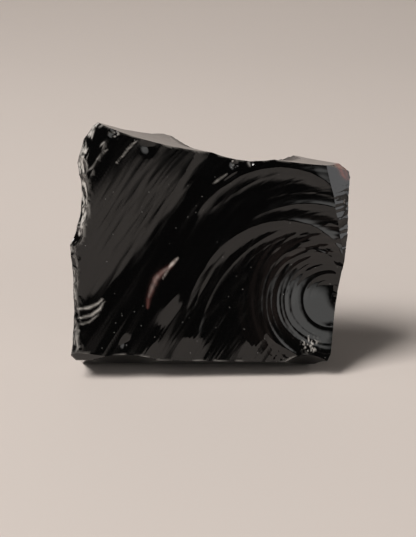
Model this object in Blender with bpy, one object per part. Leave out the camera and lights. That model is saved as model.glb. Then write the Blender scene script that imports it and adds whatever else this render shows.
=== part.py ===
"""A chunk of obsidian, natural volcanic glass, broken out of a larger block.

The chunk is one piece. Every face of it except the resting face is a break scar: a shallow dish that a
blow split off, so the model is a block from which one cutter takes away each flake. The cutters' inner
faces are parts of large spheres, and they carry the curved ripples that run out from where the blow fell.

Frame: metres, +Z up, +X to the right, -Y towards the broad front face. The origin is the middle of the
chunk's outer box, on the surface it rests on.
"""

import math
import random

import bmesh
import bpy
import numpy as np
from mathutils import Matrix, Vector

# ---------------------------------------------------------------- driving dimensions, in metres
CHUNK_WIDTH = 0.0800
CHUNK_HEIGHT = 0.0726
CHUNK_DEPTH = 0.0480

# The front face is nearly flat. It leans back and is turned a little to the right.
FACE_AZIMUTH = 3.5           # degrees, 0 looks along -Y and 90 along +X
FACE_ELEVATION = 10.0        # degrees that its outward direction points up
FACE_POINT = Vector((0.0, -0.01653, 0.0360))

# Corners of the front face's outline, as (x, z)
TOP_CORNER = (-0.0317, 0.0726)
SHOULDER = (-0.0354, 0.0704)
LEFT_HIGH = (-0.0379, 0.0615)
LEFT_MIDDLE = (-0.0400, 0.0389)
LEFT_LOW = (-0.0397, 0.0090)
NOTCH_LEFT = (-0.0005, 0.0640)
NOTCH_RIGHT = (0.0155, 0.0621)
TOP_RIGHT = (0.0326, 0.0599)
RIGHT_HIGH = (0.0385, 0.0330)
RIGHT_LOW = (0.0343, 0.0065)

# Where the blow that made the front face fell
BLOW_POINT = (0.0342, 0.0219)

# The dish that bit the top edge, open to the back
NOTCH_LOW = (0.0120, 0.0085, 0.0549)
NOTCH_RADIUS = 0.0295

# Flake scars of the back, the sides and the foot. The last number is where in the dish's own plane the
# blow fell: ripples run round that place. A scar with no radius is flat and has no ripples.
BACK_SCARS = (
    # name, middle of the dish, outward azimuth, outward elevation, radius, direction of the blow
    ("back_left", (-0.024, 0.001, 0.060), -134, 26, 0.090, 70),
    ("back_middle", (0.009, 0.0165, 0.038), 168, 8, 0.110, 120),
    ("back_lower_left", (-0.017, 0.014, 0.026), 197, 0, 0.110, 200),
    ("back_lower_right", (0.020, 0.013, 0.018), 152, -10, 0.070, -60),
    ("back_right", (0.030, 0.010, 0.044), 128, 12, 0.060, 20),
    ("back_foot", (-0.004, 0.0155, 0.006), 184, -40, 0.060, -80),
    ("back_top", (-0.006, 0.012, 0.061), 164, 40, 0.070, 95),
    ("right_high", (0.0395, 0.000, 0.050), 98, -9, 0.150, 80),
    ("top_right_corner", (0.0345, -0.006, 0.0592), 80, 58, None, 0),
    ("under_corner", (-0.0343, -0.0127, -0.0014), -62, -60, None, 0),
)
RING_REACH = 0.030           # from the middle of a back scar to the place of its blow
RING_SPACING = 0.0085        # from one ripple of a back scar to the next
RING_HEIGHT = 0.00022        # half the height from its trough to its crest

# Flake scars along the front face's outline, clockwise from its top corner
EDGE_SCARS = (
    # name, start, end, lean in degrees, sag
    ("top_left", TOP_CORNER, NOTCH_LEFT, 4.5, 0.0011),
    ("top_right", NOTCH_RIGHT, TOP_RIGHT, 2.5, 0.0002),
    ("bevel_high", (0.0322, 0.0599), (0.0348, 0.0450), 42, 0),
    ("bevel_middle", (0.0346, 0.0455), (0.0374, 0.0270), 38, 0),
    ("right_low", RIGHT_HIGH, RIGHT_LOW, -6, 0.0003),
    ("right_foot", (0.0356, 0.0092), (0.0320, 0.0023), -10, 0),
    ("under_right", (0.0210, 0.0046), (0.0330, 0.0050), 16, 0.0020),
    ("under_middle", (-0.0135, 0.0060), (0.0220, 0.0049), 13, 0),
    ("under_left", (-0.0330, 0.0069), (-0.0135, 0.0056), 14, 0.0015),
    ("corner_bevel", (-0.0405, 0.0092), (-0.0320, 0.0080), 48, 0),
    ("left_foot", (-0.0400, 0.0078), (-0.0368, 0.0023), -10, 0.0003),
    ("left_low", LEFT_LOW, LEFT_MIDDLE, -12, 0.0009),
    ("left_middle", LEFT_MIDDLE, LEFT_HIGH, -18, 0.0019),
    ("left_high", LEFT_HIGH, SHOULDER, -15, 0.0004),
    ("shoulder", SHOULDER, TOP_CORNER, -20, 0.0002),
)

# Chips crushed out of the left rim, along the edge scar that each row names
RIM_CHIPS = (
    # edge scar, how many, radius, bite, seed
    ("shoulder", 2, 0.0030, 0.0009, 4),
    ("left_high", 3, 0.0032, 0.0010, 5),
    ("left_middle", 6, 0.0036, 0.0012, 6),
    ("left_low", 6, 0.0034, 0.0011, 7),
)

BLOCK_MARGIN = 0.004         # the block starts this much larger than the chunk on each side
SCAR_REACH = 0.060           # half the side of a scar's cutter
FACE_REACH = 0.082           # half the side of the front face's cutter, which is placed at the blow
SCAR_CELL = 0.0026           # facet size of the scars
FACE_CELL = 0.0015           # facet size of the rippled front face
CUTTER_HEIGHT = 0.024        # how far a cutter reaches beyond its own rim
FLATTER_ACROSS = 3.0         # a flake scar curves this much less across the outline than along it


# ---------------------------------------------------------------- directions
def outward(azimuth, elevation):
    """Unit direction for an azimuth and an elevation in degrees."""
    turn, rise = math.radians(azimuth), math.radians(elevation)
    return Vector((math.sin(turn) * math.cos(rise), -math.cos(turn) * math.cos(rise), math.sin(rise)))


FACE_NORMAL = outward(FACE_AZIMUTH, FACE_ELEVATION)


def on_face(x, z):
    """The point of the front face's mean plane that has this x and z."""
    slope = FACE_NORMAL.x * (x - FACE_POINT.x) + FACE_NORMAL.z * (z - FACE_POINT.z)
    return Vector((x, FACE_POINT.y - slope / FACE_NORMAL.y, z))


def frame_at(point, normal, along):
    """A placing matrix whose Z is the normal and whose X lies nearest to the direction along."""
    side = (along - normal * along.dot(normal)).normalized()
    up = normal.cross(side)
    placed = Matrix((side, up, normal)).transposed().to_4x4()
    placed.translation = point
    return placed


# ---------------------------------------------------------------- the front face's relief
# Each ripple is a ridge along a spiral arc round the blow point. Its angle runs from straight up (0)
# over the left (90) to below. radius is its distance at 45 degrees. opening and curl are how much that
# distance grows for each degree, and for each degree squared, as a share of the radius.
RIPPLES = (
    # radius, opening, curl, width inwards, width outwards, height, from angle, to angle
    (0.0453, 0.0017, -0.000096, 0.0031, 0.0060, 0.00046, -6, 62),
    (0.0332, 0.0049, 0.000016, 0.0023, 0.0012, 0.00030, -32, 74),
    (0.0305, 0.0083, -0.000020, 0.0027, 0.0026, 0.00038, -32, 104),
    (0.0259, 0.0055, 0.000054, 0.0012, 0.0013, 0.00010, -10, 112),
    (0.0188, 0.0052, -0.000057, 0.0013, 0.0012, 0.00013, -30, 150),
    (0.0142, 0.0030, -0.000030, 0.0012, 0.0012, 0.00008, -40, 175),
    (0.0076, 0.0, 0.0, 0.0012, 0.0012, 0.00020, 20, 200),
)
CREST_ROUNDING = 0.0003      # how much the crest of a ripple is rounded

# The broad slope across the upper left: how far its direction is turned from straight up, how far its
# foot and its top lie from the blow point, how steep it is, and how its foot bows
SWELL_TURN = 50.0
SWELL_FOOT = 0.0452
SWELL_RUN = 0.0190
SWELL_SLOPE = 0.088
SWELL_BOW = 5.5              # for each metre
SWELL_BOW_MIDDLE = 0.040
SWELL_FOOT_SOFT, SWELL_TOP_SOFT = 0.0012, 0.0020
BEYOND_SWELL = -0.3          # the slope beyond the top, as a share of the slope below it
SWELL_STEEPENS = 0.6         # for each metre: the slope grows with the height over the line below
SWELL_STEEPENS_FROM = 0.015
SWELL_STEEPENS_SOFT = 0.004

# Low lumps along the foot
LUMPS = (
    # left and up from the blow point, half width, half length, turn, height
    (0.0466, 0.0005, 0.0032, 0.0085, 36.0, 0.00050),
    (0.0404, -0.0095, 0.0040, 0.0060, 0.0, 0.00042),
    (0.0235, -0.0110, 0.0026, 0.0050, 10.0, 0.00022),
    (0.0165, -0.0100, 0.0036, 0.0055, 0.0, 0.00022),
)

# Round steps down to the blow point: radius, depth, softness
CUP_STEPS = (
    (0.0019, 0.00024, 0.00100),
    (0.0044, 0.00040, 0.00110),
    (0.0096, 0.00080, 0.00125),
    (0.0136, 0.00038, 0.00130),
    (0.0186, 0.00010, 0.00140),
)
CUP_TILT = 0.105             # the hollow as a whole leans back at its middle, and less and less outwards
CUP_REACH = 0.020
BOWL_RADIUS = 3.0            # the whole front face is very slightly dished
FACE_SET_BACK = 0.0009       # brings the relief's average to the mean plane


def fade(angle, start, end, soft=14.0):
    """1 between two angles, falling smoothly to 0 outside them."""
    rise = np.clip((angle - start) / soft, 0.0, 1.0)
    fall = np.clip((end - angle) / soft, 0.0, 1.0)
    return (3 * rise**2 - 2 * rise**3) * (3 * fall**2 - 2 * fall**3)


def ramp(distance, soft):
    """Zero before the start and rising one for one after it, with a rounded corner."""
    return soft * np.logaddexp(0.0, distance / soft)


def ripple_relief(reach, angle):
    """Sum of the ridges: each one's height falls away from its crest line on both sides."""
    turn = angle - 45.0
    height = np.zeros_like(reach)
    for radius, opening, curl, inner, outer, ridge, start, end in RIPPLES:
        gap = reach - radius * (1.0 + opening * turn + curl * turn**2)
        width = np.where(gap < 0.0, inner, outer)
        rounded = np.sqrt(gap**2 + CREST_ROUNDING**2) - CREST_ROUNDING
        height += ridge * np.exp(-rounded / width) * fade(angle, start, end)
    return height


def swell_relief(x, y):
    """The broad slope: it rises from a bowed foot line and falls a little beyond its top."""
    turn = math.radians(SWELL_TURN)
    across = -x * math.cos(turn) + y * math.sin(turn)
    along = -x * math.sin(turn) - y * math.cos(turn)
    past = across - SWELL_FOOT - SWELL_BOW * (along - SWELL_BOW_MIDDLE) ** 2
    rise = ramp(past, SWELL_FOOT_SOFT)
    fall = (BEYOND_SWELL - 1.0) * ramp(past - SWELL_RUN, SWELL_TOP_SOFT)
    higher = np.maximum(y - SWELL_STEEPENS_FROM, 0.0)
    steeper = SWELL_STEEPENS * higher**2 * np.clip(past / SWELL_STEEPENS_SOFT, 0.0, 1.0)
    return SWELL_SLOPE * (rise + fall) + steeper


def lump_relief(x, y):
    """Bell-shaped lumps, each longer than it is wide."""
    height = np.zeros_like(x)
    for left, up, wide, long, turn, tall in LUMPS:
        side, rise = -x - left, y - up
        lean = math.radians(turn)
        one = side * math.cos(lean) + rise * math.sin(lean)
        two = -side * math.sin(lean) + rise * math.cos(lean)
        height += tall * np.exp(-((one / wide) ** 2) - (two / long) ** 2)
    return height


def face_relief(x, y):
    """Height of the front face above its mean plane, for offsets from the blow point in that plane."""
    reach = np.hypot(x, y)
    angle = np.degrees(np.arctan2(-x, y))
    angle = np.where(angle < -90.0, angle + 360.0, angle)
    height = reach**2 / (2 * BOWL_RADIUS) - FACE_SET_BACK
    height += ripple_relief(reach, angle) + swell_relief(x, y) + lump_relief(x, y)
    height -= CUP_TILT * y * np.exp(-((reach / CUP_REACH) ** 2))
    for radius, depth, soft in CUP_STEPS:
        height -= depth / (1.0 + np.exp((reach - radius) / soft))
    return height


# ---------------------------------------------------------------- cutters
def collection(name):
    made = bpy.data.collections.new(name)
    bpy.context.scene.collection.children.link(made)
    return made


def hide_cutter(cutter, cutters):
    cutter.hide_render = True
    cutter.display_type = "WIRE"
    for home in list(cutter.users_collection):
        home.objects.unlink(cutter)
    cutters.objects.link(cutter)
    return cutter


def sheet_cutter(name, placed, reach, cell, relief, cutters):
    """A closed slab whose inner face is a grid shaped by relief(x, y), thickened outwards."""
    steps = max(1, round(2 * reach / cell))
    shape = bmesh.new()
    bmesh.ops.create_grid(shape, x_segments=steps, y_segments=steps, size=reach)
    flat = np.array([v.co[:] for v in shape.verts])
    heights = relief(flat[:, 0], flat[:, 1])
    for vert, height in zip(shape.verts, heights):
        vert.co.z = height
    lid = float(heights.max()) + CUTTER_HEIGHT
    grown = bmesh.ops.extrude_face_region(shape, geom=shape.faces[:])
    for vert in (item for item in grown["geom"] if isinstance(item, bmesh.types.BMVert)):
        vert.co.z = lid
    bmesh.ops.triangulate(shape, faces=shape.faces[:])
    bmesh.ops.recalc_face_normals(shape, faces=shape.faces[:])
    mesh = bpy.data.meshes.new(name)
    shape.to_mesh(mesh)
    shape.free()
    cutter = bpy.data.objects.new(name, mesh)
    cutter.matrix_world = placed
    return hide_cutter(cutter, cutters)


def scar(name, point, normal, cutters, along=(1.0, 0.2, 0.1), radii=(None, None), blow=None):
    """The cutter of one flake: a dish whose middle lies at the point, flat where it has no radii.

    The two radii are how tightly the dish curves in the direction along and across it. blow is the
    direction, in degrees in the dish's plane, of the place that its ripples run round.
    """
    placed = frame_at(Vector(point), normal, Vector(along))
    bends = [0.5 / radius if radius else 0.0 for radius in radii]
    cell = SCAR_CELL if any(bends) else 2 * SCAR_REACH

    def relief(x, y):
        dish = bends[0] * x**2 + bends[1] * y**2
        if blow is None:
            return dish
        turn = math.radians(blow)
        away = np.hypot(x - RING_REACH * math.cos(turn), y - RING_REACH * math.sin(turn))
        return dish + RING_HEIGHT * np.sin(2 * math.pi * away / RING_SPACING)

    return sheet_cutter(name, placed, SCAR_REACH, cell, relief, cutters)


def edge_scar(name, start, end, lean, sag, cutters):
    """The cutter of a flake that broke away along the front face's outline, from start to end.

    lean is how far, in degrees, its outward direction turns from the face's plane towards the front.
    sag is how deep it bites into the outline halfway along.
    """
    first, last = on_face(*start), on_face(*end)
    middle = (first + last) / 2
    out = FACE_NORMAL.cross(last - first).normalized()
    if out.dot(middle - FACE_POINT) < 0:
        out = -out
    turn = math.radians(lean)
    normal = out * math.cos(turn) + FACE_NORMAL * math.sin(turn)
    radius = (last - first).length ** 2 / (8 * sag) if sag else None
    radii = (radius, FLATTER_ACROSS * radius) if sag else (None, None)
    return scar(name, middle - normal * sag, normal, cutters, last - first, radii)


def ball(name, centre, radius, cutters):
    """A ball that bites a small round chip out of an edge."""
    bpy.ops.mesh.primitive_uv_sphere_add(segments=14, ring_count=9, radius=radius, location=centre)
    chip = bpy.context.active_object
    chip.name = chip.data.name = name
    return hide_cutter(chip, cutters)


def rim_chips(edge, count, radius, bite, seed, cutters):
    """Small chips crushed out of the outline along the curved edge of the edge scar of that name."""
    start, end, _, sag = next(row[1:] for row in EDGE_SCARS if row[0] == edge)
    chance = random.Random(seed)
    first, last = on_face(*start), on_face(*end)
    out = FACE_NORMAL.cross(last - first).normalized()
    if out.dot((first + last) / 2 - FACE_POINT) < 0:
        out = -out
    chips = []
    for step in range(count):
        share = (step + 0.5 + chance.uniform(-0.3, 0.3)) / count
        size = radius * chance.uniform(0.7, 1.3)
        deep = bite * chance.uniform(0.6, 1.4)
        place = first.lerp(last, share) - out * (4 * sag * share * (1 - share))
        away = (out + FACE_NORMAL * chance.uniform(0.7, 1.3)).normalized()
        chips.append(ball(f"chip_{edge}_{step}", place + away * (size - deep), size, cutters))
    return chips


def all_cutters(cutters):
    """The cutters in the order in which the flakes came off."""
    made = []
    blow = on_face(*BLOW_POINT)
    face_frame = frame_at(blow, FACE_NORMAL, Vector((1.0, 0.0, 0.0)))
    made.append(sheet_cutter("front_face", face_frame, FACE_REACH, FACE_CELL, face_relief, cutters))

    # back and sides
    for name, point, azimuth, elevation, radius, blow in BACK_SCARS:
        facing, struck = outward(azimuth, elevation), blow if radius else None
        made.append(scar(name, point, facing, cutters, radii=(radius, radius), blow=struck))
    made.append(scar("notch", NOTCH_LOW, Vector((0, 0, 1)), cutters, radii=(NOTCH_RADIUS, NOTCH_RADIUS)))

    # outline of the front face, clockwise from its top corner
    for name, start, end, lean, sag in EDGE_SCARS:
        made.append(edge_scar(name, start, end, lean, sag, cutters))

    for edge, count, radius, bite, seed in RIM_CHIPS:
        made += rim_chips(edge, count, radius, bite, seed, cutters)
    return made


# ---------------------------------------------------------------- the chunk
def block():
    """The block that the chunk is broken from, standing on its flat resting face."""
    size = Vector((CHUNK_WIDTH, CHUNK_DEPTH, CHUNK_HEIGHT)) + Vector((2, 2, 1)) * BLOCK_MARGIN
    bpy.ops.mesh.primitive_cube_add(size=1.0, location=(0.0, 0.0, size.z / 2))
    made = bpy.context.active_object
    made.name = made.data.name = "obsidian_chunk"
    made.data.transform(Matrix.Translation((0.0, 0.0, size.z / 2)) @ Matrix.Diagonal((*size, 1.0)))
    made.location = (0.0, 0.0, 0.0)
    return made


def volcanic_glass():
    glass = bpy.data.materials.new("obsidian")
    glass.use_nodes = True
    shader = glass.node_tree.nodes["Principled BSDF"]
    shader.inputs["Base Color"].default_value = (0.006, 0.0055, 0.006, 1.0)
    shader.inputs["Metallic"].default_value = 0.0
    shader.inputs["Roughness"].default_value = 0.08
    shader.inputs["IOR"].default_value = 1.49
    return glass


def build():
    for old in list(bpy.data.objects):
        bpy.data.objects.remove(old, do_unlink=True)
    home, cutters = collection("obsidian chunk"), collection("cutters")
    chunk = block()
    for old_home in list(chunk.users_collection):
        old_home.objects.unlink(chunk)
    home.objects.link(chunk)
    chunk.data.materials.append(volcanic_glass())
    for cutter in all_cutters(cutters):
        cut = chunk.modifiers.new(cutter.name, "BOOLEAN")
        cut.operation = "DIFFERENCE"
        cut.solver = "EXACT"
        cut.object = cutter
    return chunk


build()
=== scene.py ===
# %% [markdown]
# # A chunk of obsidian
# Obsidian is volcanic glass. It has no grain, so a blow splits it along smooth curved faces, and each face
# keeps ripples that run out from the place that was struck. It could be sculpted by hand, or cut from a
# block with Booleans. Here its skin is worked out with numpy: rays leave the middle of the stone, and each
# stops at the first break surface that it meets. That gives one closed skin with sharp creases.

import bpy
import numpy as np
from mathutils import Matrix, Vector


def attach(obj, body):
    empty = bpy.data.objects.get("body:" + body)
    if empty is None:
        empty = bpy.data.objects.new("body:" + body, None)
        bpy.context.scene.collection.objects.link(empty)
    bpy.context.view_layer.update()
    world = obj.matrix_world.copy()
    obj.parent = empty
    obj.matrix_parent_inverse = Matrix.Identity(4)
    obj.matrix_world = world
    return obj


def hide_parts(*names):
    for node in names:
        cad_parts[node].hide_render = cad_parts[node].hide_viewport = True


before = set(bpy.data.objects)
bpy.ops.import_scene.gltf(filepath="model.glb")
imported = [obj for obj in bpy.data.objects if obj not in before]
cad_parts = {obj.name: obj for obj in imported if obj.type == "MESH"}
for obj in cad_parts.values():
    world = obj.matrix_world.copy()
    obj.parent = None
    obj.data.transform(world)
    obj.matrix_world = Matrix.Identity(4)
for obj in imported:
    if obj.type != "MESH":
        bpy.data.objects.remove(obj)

scene = bpy.context.scene
MM = 0.001  # everything below is worked out in millimetres
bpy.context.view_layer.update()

# %% [markdown]
# ## Directions and the plane of the front face
# The broad front face leans back and is turned a little to the right. One helper turns two angles into a
# direction, and another lifts a place on the face's outline to its true depth.

# %% Directions
def outward(azimuth, elevation):
    """Unit direction: azimuth 0 looks along -Y and 90 along +X, elevation is counted from the floor."""
    turn, rise = np.radians(azimuth), np.radians(elevation)
    return np.array([np.sin(turn) * np.cos(rise), -np.cos(turn) * np.cos(rise), np.sin(rise)])


FACE_TURN, FACE_LEAN = 3.5, 10.0  # degrees to the right, and back from upright
FACE_NORMAL = outward(FACE_TURN, FACE_LEAN)
FACE_POINT = np.array([0.0, -16.53, 36.0])


def on_face(x, z):
    """The point of the front face's mean plane with this x and z: y follows from the plane's equation."""
    slope = FACE_NORMAL[0] * (x - FACE_POINT[0]) + FACE_NORMAL[2] * (z - FACE_POINT[2])
    return np.array([x, FACE_POINT[1] - slope / FACE_NORMAL[1], z])


print("the front face looks along", FACE_NORMAL.round(3))

# %% Places on the front face, as x and z
BLOW_POINT = (34.2, 21.9)  # where the stone was struck
TOP, SHOULDER = (-31.7, 72.6), (-35.4, 70.4)
LEFT_HIGH, LEFT_MIDDLE, LEFT_LOW = (-37.9, 61.5), (-40.0, 38.9), (-39.7, 9.0)
LEFT_RIM = np.array([LEFT_LOW, (-38.9, 24.0), LEFT_MIDDLE, (-37.1, 50.2), LEFT_HIGH, SHOULDER, TOP])
print("depth at the blow point in mm:", on_face(*BLOW_POINT)[1].round(2))

# %% [markdown]
# ## Noise that is the same on every run
# Breaks in glass are never quite regular. Blender's noise textures work only in a material or a modifier.
# The skin needs noise before that, so it is made here, from whole numbers stirred until they look random.

# %% Smooth noise on a lattice
STIR_X, STIR_Y, STIR_SEED, STIR_AGAIN = 374761393, 668265263, 2147483647, 1274126177
LOW_32_BITS, LOW_16_BITS = 0xFFFFFFFF, 0xFFFF


def ease(share):
    """The curve 3t^2 - 2t^3, which leaves 0 and reaches 1 without a corner."""
    return share * share * (3 - 2 * share)


def lattice_noise(x, y, seed):
    """Noise from -1 to 1: random values on whole numbers, blended by the easing curve in between."""
    x0, y0 = np.floor(x).astype(np.int64), np.floor(y).astype(np.int64)
    tx, ty = ease(x - x0), ease(y - y0)

    def value(i, j):
        """Stirs two whole numbers and takes 16 bits of them as -1 to 1."""
        mixed = (i * STIR_X + j * STIR_Y + seed * STIR_SEED) & LOW_32_BITS
        mixed = ((mixed ^ (mixed >> 13)) * STIR_AGAIN) & LOW_32_BITS
        return ((mixed ^ (mixed >> 16)) & LOW_16_BITS) / (LOW_16_BITS / 2) - 1.0

    low = value(x0, y0) * (1 - tx) + value(x0 + 1, y0) * tx
    high = value(x0, y0 + 1) * (1 - tx) + value(x0 + 1, y0 + 1) * tx
    return low * (1 - ty) + high * ty


print("noise at four places:", lattice_noise(np.arange(4) + 0.5, np.zeros(4), 1).round(2))

# %% [markdown]
# ## The ripples of the front face
# The crack left these waves as it ran away from the blow. They are only tenths of a millimetre high, yet
# they make the whole look, because the glass mirrors the pale floor wherever it leans forward and the dark
# room wherever it leans back. Each is a ridge along a spiral arc round the blow, so one small table holds
# them all. Angles are counted from straight up to the left.

# %% Ripples
ARC_ZERO = 45.0  # the angle at which a ripple has the radius in the table
CREST_ROUND = 0.3  # how far from the crest a ridge is still rounded
# radius, growth and curl a degree, width inwards, width outwards, height, from angle, to angle
RIPPLES = (
    (45.3, 0.0017, -0.000096, 3.1, 6.0, 0.46, -6, 62),  # crescent under the notch
    (42.0, 0.0030, 0.0, 0.9, 1.2, 0.04, -10, 60),
    (36.6, 0.0040, 0.0, 0.8, 1.2, 0.045, -15, 70),
    (33.2, 0.0049, 0.000016, 2.3, 0.9, 0.30, -32, 74),
    (30.5, 0.0083, -0.000020, 2.7, 2.6, 0.38, -32, 103),  # long curve round the hollow
    (28.6, 0.0078, 0.0, 0.5, 0.8, 0.05, -5, 100),
    (25.9, 0.0055, 0.000054, 0.7, 1.3, 0.09, -10, 112),
    (23.6, 0.0060, 0.0, 0.6, 0.9, 0.035, -10, 90),
    (21.4, 0.0060, -0.000040, 0.8, 1.0, 0.05, -20, 130),
    (18.8, 0.0052, -0.000057, 1.3, 0.9, 0.13, -30, 150),  # dark line over the hollow
    (16.6, 0.0040, -0.000030, 0.6, 0.6, 0.08, -40, 165),
    (14.2, 0.0030, -0.000030, 0.9, 0.5, 0.08, -40, 175),
    (12.3, 0.0020, -0.000020, 0.5, 0.4, 0.05, -40, 175),
    (10.6, 0.0010, -0.000010, 0.6, 0.4, 0.06, -40, 180),
    (7.6, 0.0, 0.0, 1.1, 0.9, 0.20, -25, 200),  # dark line inside the hollow
    (18.2, 0.0, 0.0, 0.7, 1.3, 0.15, -50, 45),  # three short ones over the hollow
    (13.7, 0.0, 0.0, 0.5, 0.8, 0.10, -50, 42),
    (10.2, 0.0, 0.0, 0.5, 0.8, 0.11, -50, 48),
    (5.6, 0.0, 0.0, 0.5, 0.4, 0.03, 0, 140),
)


def fade(angle, start, end, soft=14.0):
    """1 between two angles, falling to 0 outside them along the easing curve."""
    return ease(np.clip((angle - start) / soft, 0, 1)) * ease(np.clip((end - angle) / soft, 0, 1))


def ripple_height(reach, angle):
    """Sum of ridges. Each is its height times exp(-gap / width), with a rounded crest, where gap is the
    distance from its arc, and the arc's radius is multiplied by 1 + growth * turn + curl * turn^2."""
    turn = angle - ARC_ZERO
    height = 0.0
    for radius, growth, curl, inner, outer, ridge, start, end in RIPPLES:
        gap = reach - radius * (1 + growth * turn + curl * turn**2)
        width = np.where(gap < 0, inner, outer)
        rounded = np.sqrt(gap**2 + CREST_ROUND**2) - CREST_ROUND
        height = height + ridge * np.exp(-rounded / width) * fade(angle, start, end)
    return height


print("ripples:", len(RIPPLES), "highest in mm:", max(row[5] for row in RIPPLES))

# %% [markdown]
# ## The swell and the lumps
# The crack rolled as it crossed the upper left, which left one broad slope there. Lumps at the foot stand
# where it slowed down, and small hollows show where splinters came off. One slope and a few bells will do.

# %% Swell
SWELL_TURN = 50.0  # degrees by which the slope's foot line is turned
SWELL_FOOT, SWELL_BOW, SWELL_MIDDLE = 45.2, 0.0055, 40.0
SWELL_RUN, SWELL_WIDENS = 19.5, 0.20  # length of the slope, and how it grows along the foot line
SWELL_SLOPE, SWELL_FALL = 0.088, 1.3  # rise for each mm, and how much faster it falls afterwards
FOOT_SOFT, HEAD_SOFT = 1.2, 2.0
STEEPENS, STEEPENS_FROM, STEEPENS_SOFT = 0.0006, 15.0, 4.0


def ramp(distance, soft):
    """Zero before the start and rising one for one after it, with a rounded corner."""
    return soft * np.logaddexp(0.0, distance / soft)


def swell_height(x, y):
    """Slope times the distance past a foot line that bows as a parabola, until its run is over. High up it
    steepens with the square of the height."""
    lean = np.radians(SWELL_TURN)
    across = -x * np.cos(lean) + y * np.sin(lean)
    along = -x * np.sin(lean) - y * np.cos(lean)
    past = across - SWELL_FOOT - SWELL_BOW * (along - SWELL_MIDDLE) ** 2
    run = SWELL_RUN + SWELL_WIDENS * along
    slope = SWELL_SLOPE * (ramp(past, FOOT_SOFT) - SWELL_FALL * ramp(past - run, HEAD_SOFT))
    return slope + STEEPENS * np.maximum(y - STEEPENS_FROM, 0) ** 2 * np.clip(past / STEEPENS_SOFT, 0, 1)


print("the swell rises by mm:", round(SWELL_SLOPE * SWELL_RUN, 2))

# %% Lumps and small hollows
# left and up from the blow point, half width across, half length, turn of the long axis, height
LUMPS = (
    (46.6, 0.5, 3.2, 8.5, 36.0, 0.50),  # long tongue
    (40.4, -9.5, 4.0, 6.0, 0.0, 0.42),  # hills at the foot
    (23.5, -11.0, 2.6, 5.0, 10.0, 0.22),
    (17.0, -11.0, 3.4, 5.5, 6.0, 0.12),
    (50.5, -11.5, 3.0, 6.0, 20.0, 0.32),
    (51.9, 44.0, 1.5, 1.6, 0.0, -0.38),  # pits left by splinters
    (58.6, -11.6, 0.9, 1.5, 24.0, -0.40),
    (27.4, 38.9, 1.0, 1.0, 0.0, -0.40),
    (61.2, 47.6, 1.3, 0.9, 0.0, -0.45),
    (28.6, 35.2, 0.5, 2.6, 55.0, -0.22),
)


def lump_height(x, y):
    """Sum of turned bells: height times exp(-(across / half width)^2 - (along / half length)^2)."""
    height = 0.0
    for left, up, wide, long, lean, tall in LUMPS:
        side, rise = -x - left, y - up
        turned = np.radians(lean)
        one = side * np.cos(turned) + rise * np.sin(turned)
        two = -side * np.sin(turned) + rise * np.cos(turned)
        height = height + tall * np.exp(-((one / wide) ** 2) - (two / long) ** 2)
    return height


print("lumps:", sum(row[5] > 0 for row in LUMPS), "pits:", sum(row[5] < 0 for row in LUMPS))

# %% [markdown]
# ## The hollow at the blow
# A blow on glass starts a cone, and the face steps down to it in rings. The steps are made as smooth edges
# round the blow. The innermost lie round a point nearer to the stone's edge, as the cone leaned that way.

# %% Hollow
# radius, depth and softness of each step
HOLLOW_STEPS = ((1.9, 0.24, 0.8), (4.4, 0.40, 1.0), (9.6, 0.80, 1.2), (13.6, 0.38, 1.1), (18.6, 0.10, 1.4))
SHIFT, SHIFT_FADES = 3.0, 8.0
HOLLOW_LEAN, HOLLOW_REACH = 0.105, 20.0  # it leans back as a whole, less and less outwards
RINGS_AT, RINGS_WIDTH = 15.0, 8.5  # where the fine rings are strongest, and how far they spread
COARSE_RINGS, FINE_RINGS = 0.036, 0.007


def hollow_height(x, y, reach):
    """Steps of depth / (1 + exp(distance past the edge / softness)), and a lean that fades as a bell."""
    height = -HOLLOW_LEAN * y * np.exp(-((reach / HOLLOW_REACH) ** 2))
    for radius, depth, soft in HOLLOW_STEPS:
        shift = SHIFT * np.exp(-((radius / SHIFT_FADES) ** 2))
        height = height - depth / (1 + np.exp((np.hypot(x - shift, y) - radius - shift) / soft))
    return height


def ring_height(reach, angle):
    """Two noises of the distance, stretched along the angle, under a bell round their middle distance."""
    coarse = COARSE_RINGS * lattice_noise(reach * 1.15, angle * 0.02, 5)
    fine = FINE_RINGS * lattice_noise(reach * 2.4, angle * 0.03, 6)
    return np.exp(-(((reach - RINGS_AT) / RINGS_WIDTH) ** 2)) * (coarse + fine)


print("the hollow is deep in mm:", round(sum(depth for _, depth, _ in HOLLOW_STEPS), 2))

# %% [markdown]
# ## The rim, the streaks and the whole relief
# The left rim was crushed, so the face bends back there and is rough. Fine streaks follow the way the crack
# ran: in circles above the blow, and straight down to the left of it. The whole relief is the sum.

# %% Rim and streaks
UP_TO_Z = 0.985  # rise of z for each mm up the leaning face
RIM_DEPTH, RIM_WIDTH = 0.35, 1.5
RIM_ROUGH, RIM_ROUGH_WIDTH = 0.16, 2.4
STRAIGHT_FROM = 58.0  # the angle past which streaks run straight down
COARSE_STREAKS, FINE_STREAKS = 0.015, 0.006


def rim_height(x, y):
    """Minus a bell of the distance from the left rim, plus noise under a wider bell."""
    rim = np.interp(y * UP_TO_Z + BLOW_POINT[1], LEFT_RIM[:, 1], LEFT_RIM[:, 0]) - BLOW_POINT[0]
    inside = np.maximum(x - rim, 0)
    rough = lattice_noise(inside * 1.1 + 0.4 * y, y * 0.35, 8) * np.exp(-((inside / RIM_ROUGH_WIDTH) ** 2))
    return RIM_ROUGH * rough - RIM_DEPTH * np.exp(-((inside / RIM_WIDTH) ** 2))


def streak_line(reach, angle):
    """The number of a streak: the distance up to an angle, then the distance times the cosine past it."""
    return reach * np.cos(np.radians(np.clip(angle - STRAIGHT_FROM, 0, 90)))


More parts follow.
